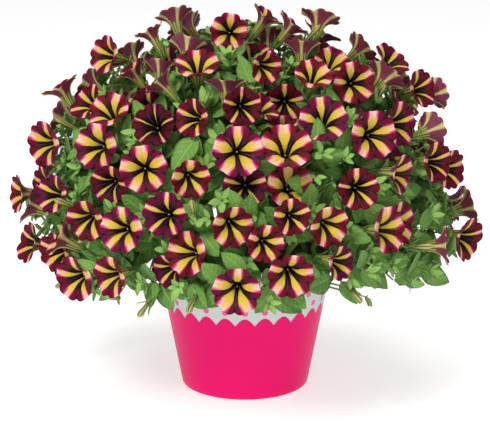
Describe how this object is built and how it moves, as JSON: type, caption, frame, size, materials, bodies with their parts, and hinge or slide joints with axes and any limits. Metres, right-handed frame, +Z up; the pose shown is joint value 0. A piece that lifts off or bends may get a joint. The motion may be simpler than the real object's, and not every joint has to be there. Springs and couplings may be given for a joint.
{
  "type": "potted petunia",
  "caption": "Round mound of striped petunia blooms and ovate leaves over a tapered round plastic pot filled with potting soil.",
  "frame": {"origin": "centre of the pot's flat base", "axes": "+Z up through the middle of the pot, -Y towards the front of the picture, +X to the right"},
  "size_m": [0.5325, 0.5202, 0.4438],
  "materials": {
    "pot": "satin pink with a silver-grey top band",
    "soil": "damp crumbly potting soil",
    "leaves": "matte green leaves and stems",
    "petals": "velvety burgundy with pale yellow stripes"
  },
  "bodies": {
    "root": {"bloom_spray_01": "petals", "bloom_spray_02": "petals", "bloom_spray_03": "petals", "bloom_spray_04": "petals", "bloom_spray_05": "petals", "bloom_spray_06": "petals", "bloom_spray_07": "petals", "bloom_spray_08": "petals", "bloom_spray_09": "petals", "bloom_spray_10": "petals", "bloom_spray_11": "petals", "bloom_spray_12": "petals", "bloom_spray_13": "petals", "bloom_spray_14": "petals", "bloom_spray_15": "petals", "bloom_spray_16": "petals", "bloom_spray_17": "petals", "bloom_spray_18": "petals", "bloom_spray_19": "petals", "bloom_spray_20": "petals", "bloom_spray_21": "petals", "bloom_spray_22": "petals", "bloom_spray_23": "petals", "bloom_spray_24": "petals", "bloom_spray_25": "petals", "bloom_spray_26": "petals", "bloom_spray_27": "petals", "bloom_spray_28": "petals", "leafy_stem_01": "leaves", "leafy_stem_02": "leaves", "leafy_stem_03": "leaves", "leafy_stem_04": "leaves", "leafy_stem_05": "leaves", "leafy_stem_06": "leaves", "leafy_stem_07": "leaves", "leafy_stem_08": "leaves", "leafy_stem_09": "leaves", "leafy_stem_10": "leaves", "leafy_stem_11": "leaves", "leafy_stem_12": "leaves", "leafy_stem_13": "leaves", "leafy_stem_14": "leaves", "leafy_stem_15": "leaves", "leafy_stem_16": "leaves", "leafy_stem_17": "leaves", "leafy_stem_18": "leaves", "leafy_stem_19": "leaves", "leafy_stem_20": "leaves", "leafy_stem_21": "leaves", "leafy_stem_22": "leaves", "leafy_stem_23": "leaves", "leafy_stem_24": "leaves", "leafy_stem_25": "leaves", "leafy_stem_26": "leaves", "leafy_stem_27": "leaves", "leafy_stem_28": "leaves", "pot": "pot", "soil": "soil"}
  },
  "joints": []
}
